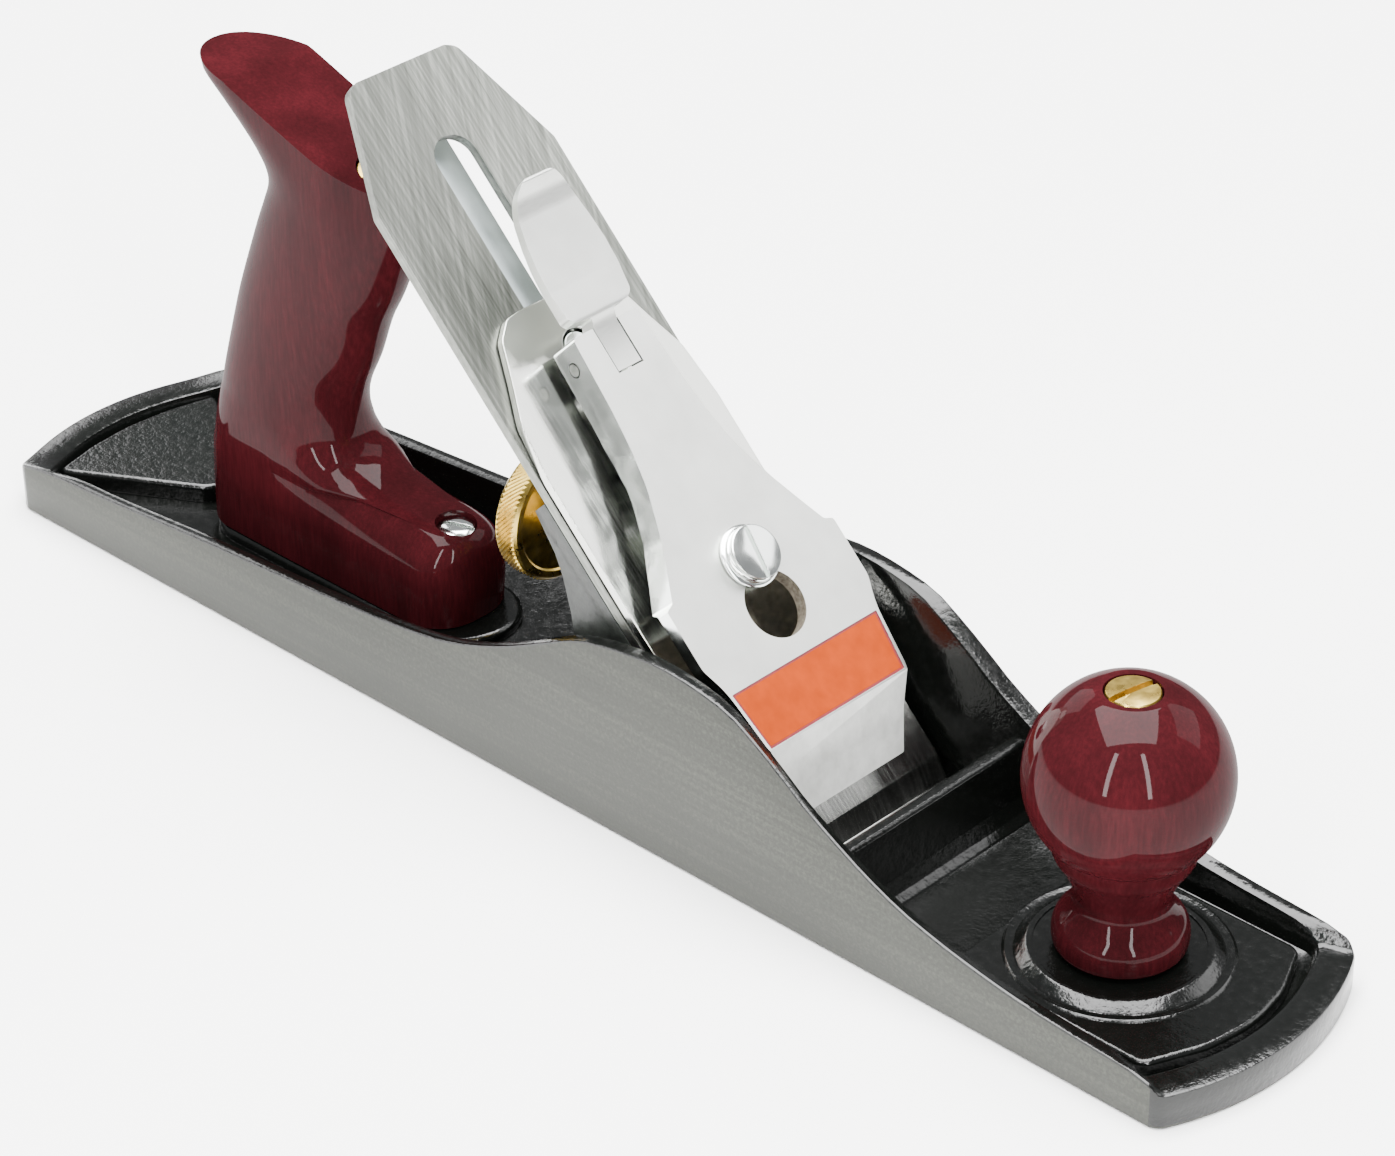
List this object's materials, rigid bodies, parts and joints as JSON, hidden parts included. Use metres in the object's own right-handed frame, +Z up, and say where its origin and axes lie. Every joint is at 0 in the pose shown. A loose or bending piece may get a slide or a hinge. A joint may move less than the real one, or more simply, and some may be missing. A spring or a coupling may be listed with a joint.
{
  "type": "hand plane",
  "caption": "Bench hand plane with a cast body, frog, double iron under a lever cap with cam lever, depth wheel, lateral lever, wooden tote and round knob.",
  "frame": {"origin": "middle of the sole's underside", "axes": "+X towards the toe, +Z up, +Y to the left when seen from behind the tote"},
  "size_m": [0.3556, 0.0636, 0.1373],
  "materials": {
    "casting": "cheeks and sole ground, inside dark enamelled",
    "enamel": "dark glossy enamel over cast iron",
    "ground_steel": "surface ground along its length",
    "polished_steel": "polished",
    "nickel": "satin nickel plate",
    "dark_steel": "plain turned and pressed steel",
    "brass": "turned and knurled",
    "stained_wood": "stained dark red and varnished"
  },
  "bodies": {
    "body": {"body_casting": "casting", "frog_screw_right": "dark_steel", "frog_screw_left": "dark_steel", "frog_washer_right": "dark_steel", "frog_washer_left": "dark_steel", "tote": "stained_wood", "tote_rod": "dark_steel", "tote_rod_nut": "brass", "tote_toe_screw": "nickel", "knob": "stained_wood", "knob_rod": "dark_steel", "knob_nut": "brass"},
    "frog_body": {"frog": "enamel", "frog_clip": "dark_steel", "frog_clip_screw": "nickel", "lever_cap_screw": "nickel", "yoke_pin": "dark_steel", "lateral_rivet": "dark_steel"},
    "adjust_screw": {"frog_adjust_screw": "nickel"},
    "stud": {"depth_stud": "dark_steel"},
    "wheel": {"depth_wheel": "brass"},
    "yoke": {"depth_yoke": "dark_steel"},
    "iron_carriage": {"cap_iron_screw": "nickel"},
    "double_iron": {"plane_iron": "ground_steel", "cap_iron": "polished_steel"},
    "lateral": {"lateral_lever": "dark_steel"},
    "roller": {"lateral_roller": "nickel"},
    "lever_cap_body": {"lever_cap": "nickel", "lever_cap_spring": "dark_steel", "spring_rivet": "dark_steel", "cam_pin": "dark_steel"},
    "cam": {"cam_lever": "nickel"}
  },
  "joints": [
    {"name": "frog_setting", "type": "slide", "parent": "body", "child": "frog_body", "axis": [1, 0, 0], "range_m": [-0.0015, 0.0008]},
    {"name": "frog_adjust_turn", "type": "hinge", "parent": "frog_body", "child": "adjust_screw", "pos_m": [0.02, 0, 0.014], "axis": [1, 0, 0], "range_deg": [-545, 295]},
    {"name": "depth_stud_travel", "type": "slide", "parent": "frog_body", "child": "stud", "axis": [1, 0, 0], "range_m": [-0.0035, 0.0007]},
    {"name": "depth_wheel_spin", "type": "hinge", "parent": "stud", "child": "wheel", "pos_m": [-0.0216, 0, 0.0463], "axis": [1, 0, 0], "range_deg": [-223, 1157]},
    {"name": "yoke_pivot", "type": "hinge", "parent": "frog_body", "child": "yoke", "pos_m": [0.00003, 0, 0.05586], "axis": [0, 1, 0], "range_deg": [-3.6, 18]},
    {"name": "iron_depth", "type": "slide", "parent": "frog_body", "child": "iron_carriage", "axis": [0.7071, 0, -0.7071], "range_m": [-0.0008, 0.0042]},
    {"name": "iron_tilt", "type": "hinge", "parent": "iron_carriage", "child": "double_iron", "pos_m": [-0.01482, 0, 0.08768], "axis": [0.7071, 0, 0.7071], "range_deg": [-1.2, 1.2]},
    {"name": "lateral_lever_pivot", "type": "hinge", "parent": "frog_body", "child": "lateral", "pos_m": [-0.00846, 0, 0.07142], "axis": [0.7071, 0, 0.7071], "range_deg": [-4, 4]},
    {"name": "lateral_roller_spin", "type": "hinge", "parent": "lateral", "child": "roller", "pos_m": [0.00003, 0, 0.07142], "axis": [0.7071, 0, 0.7071], "continuous": true},
    {"name": "lever_cap_release", "type": "slide", "parent": "frog_body", "child": "lever_cap_body", "axis": [-0.7071, 0, 0.7071], "range_m": [0, 0.0111]},
    {"name": "cam_lever_flip", "type": "hinge", "parent": "lever_cap_body", "child": "cam", "pos_m": [-0.00485, 0, 0.0903], "axis": [0, 1, 0], "range_deg": [0, 95]}
  ],
  "couplings": [
    {"joint": "frog_adjust_turn", "follows": "frog_setting", "rad_per_m": 6283.2},
    {"joint": "depth_wheel_spin", "follows": "iron_depth", "rad_per_m": 4723.7},
    {"joint": "depth_stud_travel", "follows": "iron_depth", "ratio": -0.79562},
    {"joint": "yoke_pivot", "follows": "iron_depth", "rad_per_m": 74.067},
    {"joint": "iron_tilt", "follows": "lateral_lever_pivot", "ratio": 0.27}
  ]
}
